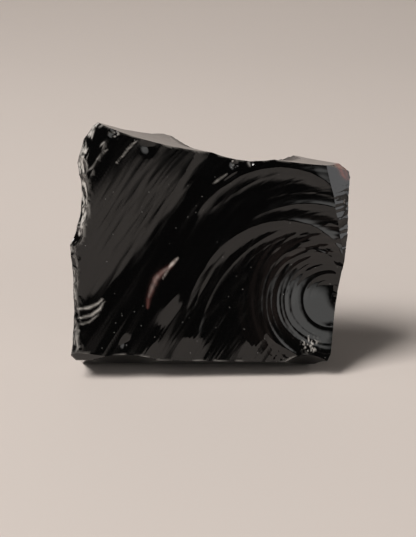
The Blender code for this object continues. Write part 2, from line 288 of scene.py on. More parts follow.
def streak_height(reach, angle):
    """Two noises of the streak's number, stretched along the angle, that fade out in the hollow."""
    line = streak_line(reach, angle)
    coarse = COARSE_STREAKS * lattice_noise(line * 0.8, angle * 0.10, 3)
    fine = FINE_STREAKS * lattice_noise(line * 1.9, angle * 0.20, 4)
    return (coarse + fine) * np.clip(reach / 8 - 0.6, 0, 1)


print("rim bends back by mm:", RIM_DEPTH)

# %% The whole relief
BOWL_RADIUS, SET_BACK = 3000.0, 0.9  # the face is very slightly dished and set back a little


def polar(x, y):
    """Distance from the blow, and angle from straight up to the left, from -90 to 270 degrees."""
    angle = np.degrees(np.arctan2(-x, y))
    return np.hypot(x, y), np.where(angle < -90, angle + 360, angle)


def face_relief(x, y):
    """Height above the mean plane: reach^2 / (2 * radius) for the bowl, plus all the forms above."""
    reach, angle = polar(x, y)
    height = reach**2 / (2 * BOWL_RADIUS) - SET_BACK
    height = height + ripple_height(reach, angle) + swell_height(x, y) + lump_height(x, y)
    height = height + hollow_height(x, y, reach) + ring_height(reach, angle)
    return height + rim_height(x, y) + streak_height(reach, angle)


print("relief 20 mm left of the blow:", face_relief(np.array([-20.0]), np.array([0.0])).round(2))

# %% [markdown]
# ## The scars that shape the stone
# A scar is a shallow dish left by a flake. Its surface is the plane through its middle plus a square law in
# each of two directions.

# %% Scars as dishes
scars = []
RING_REACH, RING_SPACING, RING_HEIGHT = 30.0, 8.5, 0.22
BACK_GRAIN, EDGE_GRAIN = 0.035, 0.012  # height of the streaks on a scar


def add_scar(name, point, normal, along, bend_along, bend_across, relief=None):
    """Keeps one dish: height over its plane is bend_along * x^2 + bend_across * y^2 plus its relief."""
    side = np.asarray(along, float) - normal * np.dot(along, normal)
    side /= np.linalg.norm(side)
    scars.append(dict(name=name, point=np.asarray(point, float), normal=normal, side=side,
                      up=np.cross(normal, side), bends=(bend_along, bend_across), relief=relief))


def ringed(turn, far, tall, grain, seed):
    """Relief of ripples round a blow that fell far away in the direction turn: a sine of the distance to
    it, plus streaks that are stretched along the ripples."""
    blow_x, blow_y = far * np.cos(np.radians(turn)), far * np.sin(np.radians(turn))

    def relief(x, y):
        """Height of the ripples and the streaks."""
        away, angle = np.hypot(x - blow_x, y - blow_y), np.arctan2(y - blow_y, x - blow_x)
        wave = tall * np.sin(2 * np.pi * away / RING_SPACING)
        coarse = lattice_noise(away * 0.55, angle * far * 0.22, seed)
        fine = lattice_noise(away * 1.3, angle * far * 0.4, seed + 1)
        return wave * (0.85 + 0.25 * coarse) + grain * (coarse + 0.35 * fine)
    return relief


add_scar("front", on_face(*BLOW_POINT), FACE_NORMAL, (1, 0, 0), 0, 0, face_relief)
add_scar("rest", (0, 0, 0), np.array([0.0, 0.0, -1.0]), (1, 0, 0), 0, 0)
print("broad faces:", [scar["name"] for scar in scars])

# %% Scars on the back, the sides and the top
# name, middle, azimuth and elevation that it faces, radius of the dish, direction of the blow in its plane
BACK_SCARS = (
    ("back_left", (-24.5, 1.5, 60.3), -134, 26, 90, 70),
    ("back_middle", (9, 16.5, 38), 168, 8, 110, 120),
    ("back_lower_left", (-17, 14, 26), 197, 0, 110, 200),
    ("back_lower_right", (20, 13, 18), 152, -10, 70, -60),
    ("back_right", (30, 10, 44), 128, 12, 60, 20),
    ("back_foot", (-4, 15.5, 6), 184, -40, 60, -80),
    ("back_top", (-6, 12, 61), 164, 40, 70, 95),
    ("right_high", (39.0, 0, 50), 98, -9, 150, 80),
    ("top_right_corner", (34.5, -6, 59.2), 80, 58, None, None),
    ("notch", (12, 8.5, 54.9), 0, 90, 29.5, None),
    ("under_corner", (-34.3, -12.7, -1.4), -62, -60, None, None),
)


def back_scar(name, point, azimuth, elevation, radius, blow):
    """A dish whose height is distance^2 / (2 * radius), or a plane where there is no radius."""
    bend = 0.5 / radius if radius else 0.0
    tall = RING_HEIGHT if blow is not None else 0.0
    rings = ringed(blow or 0, RING_REACH, tall, BACK_GRAIN, 100 + 10 * len(scars))
    add_scar(name, point, outward(azimuth, elevation), (1.0, 0.2, 0.1), bend, bend, rings)


for row in BACK_SCARS:
    back_scar(*row)
print("scars so far:", len(scars))

# %% Scars along the outline of the front face
# two ends as x and z, lean forward in degrees, bite halfway, and the height of a fine comb if it has one
EDGE_SCARS = {
    "top_left": (TOP, (-0.5, 64.0), 4.5, 1.1),
    "top_right": ((15.5, 62.1), (32.6, 59.9), 2.5, 0.2),
    "bevel_high": ((32.2, 59.9), (34.6, 49.0), 41, 0),
    "bevel_middle": ((34.4, 49.5), (37.4, 27.0), 40, 0, 0.05),
    "right_low": ((38.5, 33.0), (34.3, 6.5), -6, 0.3),
    "right_foot": ((35.6, 9.2), (32.0, 2.3), -10, 0),
    "under_right": ((21.0, 4.6), (33.0, 5.0), 16, 2.0),
    "under_middle": ((-13.5, 6.0), (22.0, 4.9), 13, 0),
    "under_left": ((-33.0, 6.9), (-13.5, 5.6), 14, 1.5),
    "corner_bevel": ((-40.5, 9.2), (-32.0, 8.0), 48, 0),
    "left_foot": ((-40.0, 7.8), (-36.8, 2.3), -10, 0.3),
    "left_low": (LEFT_LOW, LEFT_MIDDLE, -12, 0.9),
    "left_middle": (LEFT_MIDDLE, LEFT_HIGH, -18, 1.9),
    "left_high": (LEFT_HIGH, SHOULDER, -15, 0.4),
    "shoulder": (SHOULDER, TOP, -20, 0.2),
    "shoulder_bevel": ((-37.2, 59.9), (-32.4, 71.6), 60, 0),
}


def outline_frame(start, end):
    """Both ends in space, and the unit direction in the face that points away from the stone there."""
    first, last = on_face(*start), on_face(*end)
    out = np.cross(FACE_NORMAL, last - first)
    return first, last, out * np.sign(np.dot(out, (first + last) / 2 - FACE_POINT)) / np.linalg.norm(out)


def edge_scar(name, start, end, lean, bite, comb=0.0):
    """A dish through two ends: it bends by 4 * bite / length^2 along them, and by a third of that across.
    Its normal is out * cos(lean) plus the face's normal * sin(lean)."""
    first, last, out = outline_frame(start, end)
    chord = last - first
    normal = out * np.cos(np.radians(lean)) + FACE_NORMAL * np.sin(np.radians(lean))
    bend = 4 * bite / np.dot(chord, chord)
    rings = ringed(20, 0.8 * np.linalg.norm(chord), 0.0, EDGE_GRAIN, 300 + 10 * len(scars))

    def combed(x, y):
        """The same with a fine comb of noise."""
        return rings(x, y) + comb * lattice_noise(x * 1.3, y * 0.22 + x * 0.1, 91)
    add_scar(name, (first + last) / 2 - normal * bite, normal, chord, bend, bend / 3, combed)


for name, row in EDGE_SCARS.items():
    edge_scar(name, *row)
SHOULDER_BEVEL = len(scars) - 1
print("scars:", len(scars))

# %% [markdown]
# ## Small chips along the rim
# The left rim was crushed by many small blows. Each chip is a ball that bites into the edge, so its near
# side is the little hollow that the blow left.

# %% Chips as balls
chips = []  # rows of centre x, y, z and radius
# stretch of the outline, number of chips, radius, bite, seed
RIM_CHIPS = (
    ("shoulder", 3, 3.0, 0.35, 4),
    ("left_high", 6, 3.2, 0.55, 5),
    ("left_middle", 12, 3.6, 1.2, 6),
    ("left_low", 14, 3.4, 1.1, 7),
    ("shoulder", 6, 1.4, 0.25, 14),
    ("left_high", 12, 1.5, 0.5, 15),
    ("left_middle", 26, 1.5, 0.55, 16),
    ("left_low", 26, 1.4, 0.5, 17),
    ("left_high", 4, 4.6, 0.7, 25),
    ("left_middle", 9, 4.8, 1.6, 26),
    ("left_low", 9, 4.2, 1.2, 27),
)


def rim_chips(edge, count, radius, bite, seed):
    """Balls strung along the outline's curve, first + chord * share less the bite of its scar, which is
    4 * share * (1 - share) of the deepest. Each is centred outside the outline, towards the front."""
    start, end, _, sag = EDGE_SCARS[edge]
    chance = np.random.default_rng(seed)
    first, last, out = outline_frame(start, end)
    share = (np.arange(count) + 0.5 + chance.uniform(-0.3, 0.3, count)) / count
    size = radius * chance.uniform(0.7, 1.3, count)
    deep = bite * chance.uniform(0.6, 1.4, count)
    away = out + FACE_NORMAL * chance.uniform(0.7, 1.3, count)[:, None]
    away /= np.linalg.norm(away, axis=1, keepdims=True)
    place = first + (last - first) * share[:, None] - out * (4 * sag * share * (1 - share))[:, None]
    chips.extend(np.column_stack([place + away * (size - deep)[:, None], size]).tolist())


for row in RIM_CHIPS:
    rim_chips(*row)
FIRST_PIT = len(scars) + len(chips)  # scars come first, then rim chips, then pits
print("chips on the rim:", len(chips))

# %% Round pits in the face
# x, z, radius and depth
PITS = ((11.2, 61.2, 2.0, 0.4), (-27.0, 70.6, 2.6, 0.5))


def face_pit(x, z, radius, depth):
    """A ball centred above the relief by its radius less the depth."""
    place = on_face(x, z)
    offset = place - on_face(*BLOW_POINT)
    side, up = scars[0]["side"], scars[0]["up"]
    level = face_relief(np.array([offset @ side]), np.array([offset @ up]))[0]
    chips.append([*(place + FACE_NORMAL * (level + radius - depth)), radius])


for row in PITS:
    face_pit(*row)
chips = np.array(chips)
print("chips and pits:", len(chips))

# %% [markdown]
# ## Rays from the middle
# The skin could be cut with Booleans, but then every ripple would need its own triangles in the cutter. A
# ray needs only the distance to each scar. For a dish that is the smaller root of a square equation. The
# relief is added by asking again at the point that was just found. A ball is met at its near side.

# %% Distance along a ray
HEART = np.array([0.0, -1.0, 34.0])  # the middle that the rays leave
FAR = 1e6  # stands for a scar that a ray never meets
RELIEF_ROUNDS, RELIEF_LIMIT = 4, 150.0  # how often the relief is asked for, and no farther than this


def scar_distance(scar, rays, relief=True):
    """Smallest positive root of plane height minus the dish's square law, then relief by repetition."""
    start = HEART - scar["point"]
    a0, x0, y0 = start @ scar["normal"], start @ scar["side"], start @ scar["up"]
    a1, x1, y1 = rays @ scar["normal"], rays @ scar["side"], rays @ scar["up"]
    kx, ky = scar["bends"]
    square = kx * x1**2 + ky * y1**2
    linear = a1 - 2 * (kx * x0 * x1 + ky * y0 * y1)
    level = kx * x0**2 + ky * y0**2 - a0
    lift = 0.0
    waved = relief and scar["relief"] is not None
    for _ in range(RELIEF_ROUNDS if waved else 1):
        inside = linear**2 - 4 * square * (level + lift)
        met = (inside > 0) & (linear > 0)
        root = np.sqrt(np.maximum(inside, 0))
        reach = np.where(met, 2 * (level + lift) / np.where(met, linear + root, 1), FAR)
        if waved:
            near = np.minimum(reach, RELIEF_LIMIT)
            lift = scar["relief"](x0 + near * x1, y0 + near * y1)
    return reach


def ball_distance(ball, rays):
    """Near crossing of a ray with a ball: projection less the half chord."""
    start = ball[:3] - HEART
    along = rays @ start
    inside = along**2 - (start @ start - ball[3] ** 2)
    return np.where((inside > 0) & (along > 0), along - np.sqrt(np.maximum(inside, 0)), FAR)


def distance_of(number, rays, relief=True):
    """Distance along each ray to the scar or chip with this number."""
    if number < len(scars):
        return scar_distance(scars[number], rays, relief)
    return ball_distance(chips[number - len(scars)], rays)


print("straight ahead the skin is at mm:", distance_of(0, outward(0, 0)[None]).round(2))

# %% The first scar that a ray meets
RELIEF_MATTERS = 8.0  # a scar this far behind the first can't come forward


def all_distances(rays):
    """One row for each scar and chip; the relief is only worked out where it can matter."""
    count = len(scars) + len(chips)
    table = np.array([distance_of(number, rays, relief=False) for number in range(count)])
    nearest = table.min(0)
    for number in range(len(scars)):
        close = np.flatnonzero(table[number] < nearest + RELIEF_MATTERS)
        table[number, close] = distance_of(number, rays[close])
    return table


def first_met(rays):
    """Distance to the skin and the number of the scar or chip that makes it."""
    table = all_distances(rays)
    which = table.argmin(0)
    return table[which, np.arange(len(rays))], which


def crease_gap(rays):
    """How far behind the skin the next scar lies: it falls to zero at every crease."""
    table = all_distances(rays)
    index = np.arange(len(rays))
    first = table.argmin(0)
    nearest = table[first, index]
    table[first, index] = FAR
    second = table.argmin(0)
    return table[second, index] - nearest, np.maximum(first, second)


print("to the left it meets scar number", first_met(outward(-90, 0)[None])[1])

# %% [markdown]
# ## The grid of rays
# The rays go through a cage with eight corners just outside the stone. A ball of rays would crowd at its two
# poles, and a cage has none. Its front side has a fine grid and the others have every second line, because
# the front face carries the ripples.

# %% Cage, patches and rings
ACROSS, UPWARDS, BACKWARDS = 264, 228, 44  # cells along the front's width and height, and along the depth
CROWD_FORWARD = 1.25  # above 1, the rings are closer together near the front
FRONT_CORNERS = np.array([[-41, -20, 1], [36, -18, 1], [41, -8, 62], [-35, -9, 75]], float)
BACK_CORNERS = np.array([[-41, 22, -1], [36, 20, -1], [38, 24, 60], [-30, 20, 68]], float)


def patch(corners, width, height):
    """Weighted mean of four corners: the weights are the products of s, 1 - s, t and 1 - t."""
    s, t = np.meshgrid(np.linspace(0, 1, width + 1), np.linspace(0, 1, height + 1))
    s, t = s[..., None], t[..., None]
    return (corners[0] * (1 - s) * (1 - t) + corners[1] * s * (1 - t)
            + corners[2] * s * t + corners[3] * (1 - s) * t)


def rim_order(width, height):
    """Row and column of the points round a patch, anticlockwise from its first corner."""
    bottom = [(0, i) for i in range(width)]
    right = [(j, width) for j in range(height)]
    top = [(height, i) for i in range(width, 0, -1)]
    left = [(j, 0) for j in range(height, 0, -1)]
    return np.array(bottom + right + top + left)


front = patch(FRONT_CORNERS, ACROSS, UPWARDS)
back = patch(BACK_CORNERS, ACROSS // 2, UPWARDS // 2)
fine_rim, coarse_rim = rim_order(ACROSS, UPWARDS), rim_order(ACROSS // 2, UPWARDS // 2)
rim_front = front[fine_rim[::2, 0], fine_rim[::2, 1]]
rim_back = back[coarse_rim[:, 0], coarse_rim[:, 1]]
depths = (np.arange(1, BACKWARDS) / BACKWARDS) ** CROWD_FORWARD
rings = rim_front + (rim_back - rim_front) * depths[:, None, None]
cage = np.concatenate([front.reshape(-1, 3), back.reshape(-1, 3), rings.reshape(-1, 3)])
print("points on the skin:", len(cage))

# %% Faces between the points
def numbered(grid, start):
    """Numbers for every point of a grid, counted on from start."""
    return start + np.arange(grid.shape[0] * grid.shape[1]).reshape(grid.shape[:2])


def quads(rows):
    """Four corner numbers for every cell of a table of numbers."""
    return np.stack([rows[:-1, :-1], rows[:-1, 1:], rows[1:, 1:], rows[1:, :-1]], -1).reshape(-1, 4)


def looped(row):
    """The same numbers with the first one again at the end, which closes the ring."""
    return np.concatenate([row, row[..., :1]], -1)


front_id = numbered(front, 0)
back_id = numbered(back, front_id.size)
ring_id = numbered(rings, front_id.size + back_id.size)
fine_loop = front_id[fine_rim[:, 0], fine_rim[:, 1]]
back_loop = back_id[coarse_rim[:, 0], coarse_rim[:, 1]]
tube = looped(np.concatenate([ring_id, back_loop[None]]))
cells = np.concatenate([quads(front_id), quads(back_id)[:, ::-1], quads(tube)[:, ::-1]])
print("cells:", len(cells))

# %% Triangles that join the fine front to the coarser rings
ends, first_ring, halves = looped(fine_loop[::2]), looped(ring_id[0]), fine_loop[1::2]
join = np.concatenate([
    np.stack([ends[:-1], first_ring[:-1], halves], -1),
    np.stack([halves, first_ring[:-1], first_ring[1:]], -1),
    np.stack([halves, first_ring[1:], ends[1:]], -1)])
print("joining triangles:", len(join))

# %% [markdown]
# ## Pulling points onto the creases
# A grid point seldom lies exactly where two scars meet, and a crease drawn across the grid looks like the
# teeth of a saw. So a point next to a crease slides along the cage until both scars are equally far away.

# %% Neighbours on different scars
def unit(vectors):
    """Each vector divided by its length."""
    return vectors / np.linalg.norm(vectors, axis=-1, keepdims=True)


rays = unit(cage - HEART)
reach, which = first_met(rays)
edges = np.concatenate([cells[:, [0, 1]], cells[:, [1, 2]], cells[:, [2, 3]], cells[:, [3, 0]],
                        cells[:, [0, 2]], cells[:, [1, 3]]])
crossing = edges[which[edges[:, 0]] != which[edges[:, 1]]]
ids = np.concatenate([crossing[:, 0], crossing[:, 1]])
others = np.concatenate([which[crossing[:, 1]], which[crossing[:, 0]]])
pairs = np.unique(np.stack([ids, others], -1), axis=0)
print("points next to a crease:", len(np.unique(ids)))

# %% Slide points to the creases
TURN_STEP, TURN_LIMIT, SLIDES = 1e-4, 0.0045, 3  # in radians; the limit is about half a cell
LEAST_SLOPE = 1e-6


def distance_to(directions, numbers):
    """Distance of each ray to its own scar or chip."""
    found = np.empty(len(directions))
    for number in np.unique(numbers):
        mine = numbers == number
        found[mine] = distance_of(number, directions[mine])
    return found


def pair_gap(directions, one, two):
    """Difference of the distances to two given scars or chips, for each ray."""
    return distance_to(directions, one) - distance_to(directions, two)


def slide_to_crease(point_ids, other):
    """Newton steps: each ray turns by minus gap * slope / slope^2. The slope is measured by turning the ray
    a little sideways and upwards."""
    start = rays[point_ids]
    here = start.copy()
    across = unit(np.cross(here, [0.0, 0.0, 1.0]))
    above = np.cross(across, here)
    own = which[point_ids]
    for _ in range(SLIDES):
        gap = pair_gap(here, own, other)
        slope_a = (pair_gap(unit(here + across * TURN_STEP), own, other) - gap) / TURN_STEP
        slope_b = (pair_gap(unit(here + above * TURN_STEP), own, other) - gap) / TURN_STEP
        size = np.maximum(slope_a**2 + slope_b**2, LEAST_SLOPE)
        move = -(gap / size)[:, None] * (across * slope_a[:, None] + above * slope_b[:, None])
        here = unit(here + move)
    shift = np.linalg.norm(here - start, axis=1)
    return here, shift, (shift < TURN_LIMIT) & np.isfinite(shift)


here, shift, good = slide_to_crease(pairs[:, 0], pairs[:, 1])
order = np.argsort(shift)
with_crease, first_index = np.unique(pairs[order, 0], return_index=True)
picked = order[first_index]  # of a point's creases, the one that is nearest
picked = picked[good[picked]]
rays[pairs[picked, 0]] = here[picked]
reach, which = first_met(rays)
points = HEART + rays * reach[:, None]
print("points moved to a crease:", len(picked), "of", len(with_crease))

# %% Triangles that follow the creases
def split(cells):
    """Cuts each cell along the diagonal whose middle lies farther from the heart."""
    corner = points[cells]
    one = np.linalg.norm((corner[:, 0] + corner[:, 2]) / 2 - HEART, axis=1)
    two = np.linalg.norm((corner[:, 1] + corner[:, 3]) / 2 - HEART, axis=1)
    turned = np.where((two > one)[:, None], cells[:, [1, 2, 3, 0]], cells)
    return np.concatenate([turned[:, [0, 1, 2]], turned[:, [0, 2, 3]]])


triangles = np.concatenate([split(cells), join])
centres = unit(points[triangles].mean(1) - HEART)
labels = which[triangles]
same = (labels[:, 0] == labels[:, 1]) & (labels[:, 1] == labels[:, 2])
made_by = labels[:, 0].copy()
made_by[~same] = first_met(centres[~same])[1]
print("triangles:", len(triangles), "on creases:", int((~same).sum()))

# %% [markdown]
# ## Exact normals
# Glass shows every wobble of its surface in its reflections. Blender's own smooth normals are means over the
# triangles round a point, which would round off the creases and ripple the flat parts. So each corner of
# each triangle gets the true normal of the scar that made it.

# %% Normals from the formulas
SLOPE_STEP = 0.02  # mm over which the relief's slope is measured


def surface_normals(number, place):
    """Gradient of a dish, with the relief's slope by small differences, or the way to a ball's centre."""
    if number >= len(scars):
        return unit(chips[number - len(scars), :3] - place)
    scar = scars[number]
    start = place - scar["point"]
    x, y = start @ scar["side"], start @ scar["up"]
    kx, ky = scar["bends"]
    rise_x, rise_y = 2 * kx * x, 2 * ky * y
    if scar["relief"]:
        level = scar["relief"](x, y)
        rise_x = rise_x + (scar["relief"](x + SLOPE_STEP, y) - level) / SLOPE_STEP
        rise_y = rise_y + (scar["relief"](x, y + SLOPE_STEP) - level) / SLOPE_STEP
    return unit(scar["normal"] - rise_x[:, None] * scar["side"] - rise_y[:, None] * scar["up"])


corner_normals = np.zeros((len(triangles), 3, 3))
for number in np.unique(made_by):
    mine = made_by == number
    place = points[triangles[mine]].reshape(-1, 3)
    corner_normals[mine] = surface_normals(number, place).reshape(-1, 3, 3)
print("normals:", corner_normals.shape[0] * 3)

# %% [markdown]
# ## Wear and crushed edges
# Where glass is crushed it turns pale and matt, because thousands of tiny cracks scatter the light. A mask
# could be painted by hand. Here it follows the shape: it is strong where two scars are nearly equally far
# away, and along the left rim. Later the same pale mask also takes painted highlights: bright lines and
# spots where the face catches the light.

# %% Wear along the creases
x, y, z = points.T
on_front = (which == 0) | (which >= SHOULDER_BEVEL)  # the face, the facet at its corner, and all chips
CREASE_WIDTH, CREASE_WEAR, CREASE_FLECKS = 0.10, 0.12, 0.35
CLEAN_FROM, CLEAN_SOFT = 30.0, 8.0  # the right side broke off clean

gap, second = crease_gap(rays)
fleck = lattice_noise(x * 0.5 + z * 0.2, z * 0.5 - y * 0.3, 21)
wear_and_glints = np.clip(np.exp(-gap / CREASE_WIDTH) * (CREASE_WEAR + CREASE_FLECKS * fleck), 0, 1)
wear_and_glints *= (second < FIRST_PIT) * np.clip((CLEAN_FROM - x) / CLEAN_SOFT, 0, 1)
print("worn points:", int((wear_and_glints > 0.1).sum()))

# %% Crushed left rim
def rim_crush(inwards, z):
    """Flakes are noise that is stretched along the rim, more of them high up, cut off at a width that grows
    with the height; inwards is the distance from the rim."""
    flakes = lattice_noise(inwards * 2.0 + 0.3 * z, z * 0.45, 22)
    flakes += 0.8 * lattice_noise(inwards * 3.2, z * 1.3, 23)
    patches = lattice_noise(z * 0.16, inwards * 0.1, 24)
    upper = np.clip((z - 30) / 14, 0, 1)
    crush = np.clip(1.2 * flakes + 0.35 * patches - 0.25 + 0.45 * upper, 0, 1) * (0.55 + 0.4 * upper)
    return crush * np.clip((1.9 + 1.3 * upper - inwards) / 0.6, 0, 1)


BEHIND_RIM = -3.0  # crushing reaches this far round the rim
inwards = x - np.interp(z, LEFT_RIM[:, 1], LEFT_RIM[:, 0])
crush = rim_crush(inwards, z) * (on_front & (inwards > BEHIND_RIM) & (which < FIRST_PIT))
wear_and_glints = np.maximum(wear_and_glints, crush)
print("crushed points on the rim:", int((crush > 0.1).sum()))

# %% [markdown]
# ## Painted highlights and flecks
# Bright lines on the face are painted highlights: pale colour where small ridges and facets catch the light.
# Bright spots are pale crushed flecks with painted glints. Each line is a stroke along a bent line, and each
# spot is noise under a bell.

# %% Bruises and painted glints
# pale crushed flecks, partly painted glints
# middle as x and z, radius, strength
BRUISES_AND_GLINTS = ((28.4, 9.6, 2.3, 1.2), (6.6, 61.2, 1.0, 1.2), (-26.5, 69.6, 1.0, 1.3))


def bruise_and_glint(x, z, middle_x, middle_z, radius, strength):
    """Pale flecks with painted glints: noise above a threshold, under exp(-(distance / radius)^4)."""
    far = ((x - middle_x) ** 2 + (z - middle_z) ** 2) / radius**2
    flecks = lattice_noise(x * 2.2 + z * 0.5, z * 1.9 - x * 0.4, 53)
    flecks += 0.6 * lattice_noise(x * 3.3, z * 3.1, 54)
    return np.clip(2.4 * flecks * strength - 0.7, 0, 1) * np.exp(-far**2)


for row in BRUISES_AND_GLINTS:
    wear_and_glints = np.maximum(wear_and_glints, bruise_and_glint(x, z, *row) * on_front)
print("bruises_and_glints:", len(BRUISES_AND_GLINTS))

# %% Strokes along bent lines
def stroke(x, z, knots, width, seed):
    """Bell of the distance to a bent line, exp(-(distance / width)^2), narrow at both ends by a sine of the
    way along, and broken up by noise."""
    knots = np.array(knots, float)
    nearest, along = np.full(len(x), FAR), np.zeros(len(x))
    steps = np.linalg.norm(np.diff(knots, axis=0), axis=1)
    passed = np.concatenate([[0.0], np.cumsum(steps)])
    for number, (start, end) in enumerate(zip(knots[:-1], knots[1:])):
        way = (end - start) / steps[number]
        share = np.clip((x - start[0]) * way[0] + (z - start[1]) * way[1], 0, steps[number])
        gap = np.hypot(x - start[0] - way[0] * share, z - start[1] - way[1] * share)
        closer = gap < nearest
        nearest = np.where(closer, gap, nearest)
        along = np.where(closer, passed[number] + share, along)
    taper = 0.35 + 0.65 * np.sin(np.pi * np.clip(along / passed[-1], 0.02, 0.98)) ** 0.7
    ragged = 0.78 + 0.45 * lattice_noise(along * 0.8, x * 0.9 + z * 0.5, seed)
    return np.clip(np.exp(-((nearest / (width * taper)) ** 2)) * ragged, 0, 1)


# points as x and z, half width and strength of the painted highlight lines
PAINTED_HIGHLIGHTS = (
    (((-20.0, 68.4), (-23.0, 65.6), (-24.4, 63.8), (-26.4, 61.8)), 0.21, 0.62),
    (((-28.9, 65.5), (-30.4, 64.2), (-31.8, 62.7)), 0.28, 0.42),
    (((-31.6, 62.8), (-33.0, 60.6), (-34.4, 59.6)), 0.26, 0.32),
    (((-30.8, 66.4), (-29.4, 67.8)), 0.22, 0.5),
    (((-32.4, 71.8), (-33.2, 70.4), (-33.9, 68.6)), 0.45, 1.0),
    (((-35.8, 66.9), (-36.4, 63.6)), 0.40, 0.8),
    (((4.6, 57.9), (0.7, 55.3)), 0.26, 0.6),
    (((10.2, 61.6), (11.0, 60.0)), 0.30, 0.8),
    (((-30.6, 23.6), (-31.8, 22.4), (-34.2, 21.3), (-37.8, 20.8)), 0.32, 0.9),
    (((-30.2, 22.8), (-31.4, 20.8), (-33.8, 19.1), (-37.2, 18.4)), 0.32, 0.85),
    (((-31.6, 19.4), (-34.4, 17.2), (-37.6, 16.5)), 0.24, 0.5),
    (((-37.2, 15.0), (-38.0, 12.4), (-37.6, 9.6)), 0.30, 0.6),
)
# these lines are painted highlights, laid into the pale mask as colour
for number, (knots, width, strength) in enumerate(PAINTED_HIGHLIGHTS):
    wear_and_glints = np.maximum(wear_and_glints, strength * stroke(x, z, knots, width, 60 + number) * on_front)
print("highlight lines:", len(PAINTED_HIGHLIGHTS))

# %% [markdown]
# ## Colours in the glass
# Iron stains some obsidian mahogany red, and damp leaves rust on a broken corner. Both are only colour, so
# they aren't raised. Where the crack ran roughly, the glass is matt instead of bright. Round the hollow a
# brown tint is painted in threads along the rings: a painted reflection of the floor there.

# %% Mahogany streak with a pale tip
MAHOGANY = ((-10.1, 33.8), (-11.5, 32.3), (-13.8, 30.7), (-15.6, 28.9),
            (-16.6, 26.4), (-17.6, 23.8), (-17.9, 21.0))
PALE_TIP = ((-9.2, 34.7), (-10.3, 33.6), (-11.9, 32.0))
PALE_THREAD = ((-11.4, 32.4), (-13.8, 28.7))

red = 0.95 * stroke(x, z, MAHOGANY, 0.72, 31) * on_front
pale = np.maximum(0.9 * stroke(x, z, PALE_TIP, 0.36, 32), 0.20 * stroke(x, z, MAHOGANY[1:6], 0.50, 35))
pale = np.maximum(pale, 0.5 * stroke(x, z, PALE_THREAD, 0.22, 36)) * on_front
print("mahogany points:", int((red > 0.1).sum()))

# %% Rust on the top right corner
RUST = ((35.4, 59.5), (36.8, 58.2), (38.9, 54.4))
RUST_SIDE = ((37.6, 59.4), (38.6, 57.4), (39.7, 53.8))
RUST_BACK = 4.0  # no rust farther back than this

rust = np.maximum(stroke(x, z, RUST, 0.6, 33), 0.8 * stroke(x, z, RUST_SIDE, 0.4, 34))
rust *= (which != 0) & (y < RUST_BACK)
print("rusty points:", int((rust > 0.1).sum()))

# %% Painted reflection tint and matt streaks
REFLECTION_AT, REFLECTION_WIDTH, REFLECTION_STRENGTH = 18.0, 6.5, 0.60
offset = points - scars[0]["point"]
face_reach, face_angle = polar(offset @ scars[0]["side"], offset @ scars[0]["up"])


def reflection_tint_mask(reach, angle):
    """Painted floor reflection: threads of noise along the rings, under a bell round one distance from the
    blow.
    """
    threads = lattice_noise(reach * 1.3, angle * 0.04, 41)
    threads += 0.6 * lattice_noise(reach * 2.4, angle * 0.06, 42)
    bell = np.exp(-(((reach - REFLECTION_AT) / REFLECTION_WIDTH) ** 2))
    return REFLECTION_STRENGTH * np.clip(0.5 * threads + 0.35, 0, 1) * bell * fade(angle, -60, 150, 40)


def matt_mask(reach, angle):
    """Noise of the streak's number, stretched along the angle, that fades out in the hollow."""
    line = streak_line(reach, angle)
    streaks = lattice_noise(line, angle * 0.08, 71) + 0.8 * lattice_noise(line * 2.6, angle * 0.16, 72)
    return np.clip(0.12 + 0.42 * streaks, 0, 1) * np.clip(reach / 12 - 0.8, 0, 1)


# brown tint painted round the hollow, standing for the floor's reflection
reflection_tint = reflection_tint_mask(face_reach, face_angle) * (which == 0)
matt = matt_mask(face_reach, face_angle) * (which == 0)
print("tinted points:", int((reflection_tint > 0.1).sum()), "matt points:", int((matt > 0.1).sum()))

# %% [markdown]
# ## The mesh
# The arrays go into Blender whole, with foreach_set. Every mask becomes an attribute of the points, so
# the material can follow the shape. The finished chunk takes the place of the plain solid.

# %% Mesh with its masks
mesh = bpy.data.meshes.new("obsidian")
mesh.vertices.add(len(points))
mesh.vertices.foreach_set("co", (points * MM).ravel())
mesh.loops.add(triangles.size)
mesh.loops.foreach_set("vertex_index", triangles.ravel())
mesh.polygons.add(len(triangles))
mesh.polygons.foreach_set("loop_start", np.arange(0, triangles.size, 3))
mesh.update(calc_edges=True)
mesh.validate()
mesh.shade_smooth()
# the pale mask is real crushing and wear plus painted highlights; the brown tint mask is a painted
# reflection
masks = {"crushed": wear_and_glints, "mahogany": red, "pale": pale, "reflection_tint": reflection_tint, "rust": rust, "matt": matt}
for name, mask in masks.items():
    values = np.clip(mask, 0, 1).astype(np.float32)
    mesh.attributes.new(name, "FLOAT", "POINT").data.foreach_set("value", values)
mesh.normals_split_custom_set(corner_normals.reshape(-1, 3))
print("triangles:", len(mesh.polygons), "open edges:", len(mesh.edges) - len(triangles) * 3 // 2)

# %% Put it in the place of the solid
chunk = bpy.data.objects.new("obsidian", mesh)
scene.collection.objects.link(chunk)
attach(chunk, "root")
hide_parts("obsidian_chunk")
print("size in mm:", (np.ptp(points, axis=0)).round(1))

# %% [markdown]
# ## Helpers for materials
# Colours are given as they look on a screen, and one function makes them linear, as Blender needs them.
# Another adds a node with its settings and its links in one call.

# %% Colour and node helpers
def linear(hex_colour):
    """sRGB hex to linear: above 0.04045 the share ((c + 0.055) / 1.055) to the power 2.4, else c / 12.92."""
    parts = np.array([int(hex_colour[i:i + 2], 16) for i in (1, 3, 5)]) / 255
    return [*np.where(parts > 0.04045, ((parts + 0.055) / 1.055) ** 2.4, parts / 12.92), 1.0]


